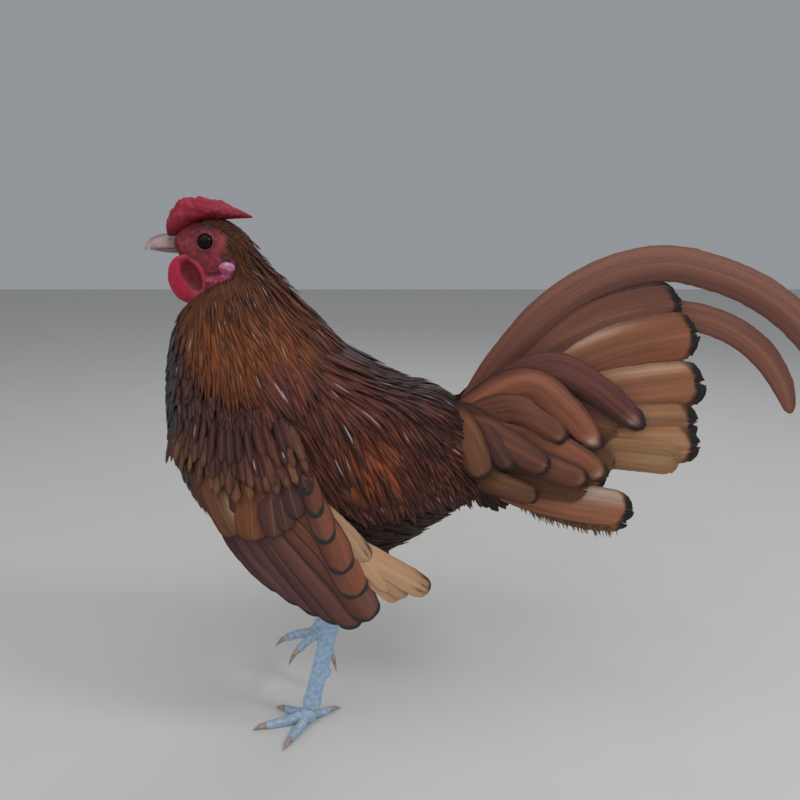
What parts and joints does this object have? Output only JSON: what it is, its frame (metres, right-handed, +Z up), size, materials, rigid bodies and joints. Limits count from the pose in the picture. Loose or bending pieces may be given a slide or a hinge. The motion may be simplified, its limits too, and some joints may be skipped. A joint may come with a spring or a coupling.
{
  "type": "bantam rooster",
  "caption": "Life-size still model of a small rose-combed rooster with a long hackle, drooped wings and a high sickled tail, standing on one leg",
  "frame": {"origin": "on the floor, below the middle of the whole bird's bounding box", "axes": "+Z up, the bird faces -X with its tail towards +X, and its left side is towards -Y"},
  "size_m": [0.3548, 0.103, 0.2791],
  "materials": {
    "face_skin": "bare dull red skin with fine folds",
    "comb_skin": "crimson, rough with small points",
    "wattle_skin": "bright red, soft sheen, finely pored",
    "earlobe_skin": "pinkish white, soft",
    "beak_horn": "pinkish horn, slightly glossy, dusky at its base",
    "eye": "wet dark brown iris and black pupil",
    "hackle_feathers": "golden orange brown, glossy along the shafts",
    "body_feathers": "dark red brown to slate black with pale edges",
    "wing_feathers": "brown with dark crescent tips",
    "tail_feathers": "chestnut with black tips",
    "leg_scales": "light slate blue scutes with darker grooves",
    "claw_horn": "pinkish horn, slightly glossy"
  },
  "bodies": {
    "root": {"head": "face_skin", "comb": "comb_skin", "wattle_left": "wattle_skin", "wattle_right": "wattle_skin", "earlobe_left": "earlobe_skin", "earlobe_right": "earlobe_skin", "beak_upper": "beak_horn", "beak_lower": "beak_horn", "eye_left": "eye", "eye_right": "eye", "neck": "hackle_feathers", "torso": "body_feathers", "wing_left": "wing_feathers", "wing_right": "wing_feathers", "tail_left": "tail_feathers", "tail_right": "tail_feathers", "thigh_left": "body_feathers", "thigh_right": "body_feathers", "shank_left": "leg_scales", "shank_right": "leg_scales", "foot_left": "leg_scales", "foot_right": "leg_scales", "claw_inner_left": "claw_horn", "claw_middle_left": "claw_horn", "claw_outer_left": "claw_horn", "claw_hind_left": "claw_horn", "claw_inner_right": "claw_horn", "claw_middle_right": "claw_horn", "claw_outer_right": "claw_horn", "claw_hind_right": "claw_horn"}
  },
  "joints": []
}
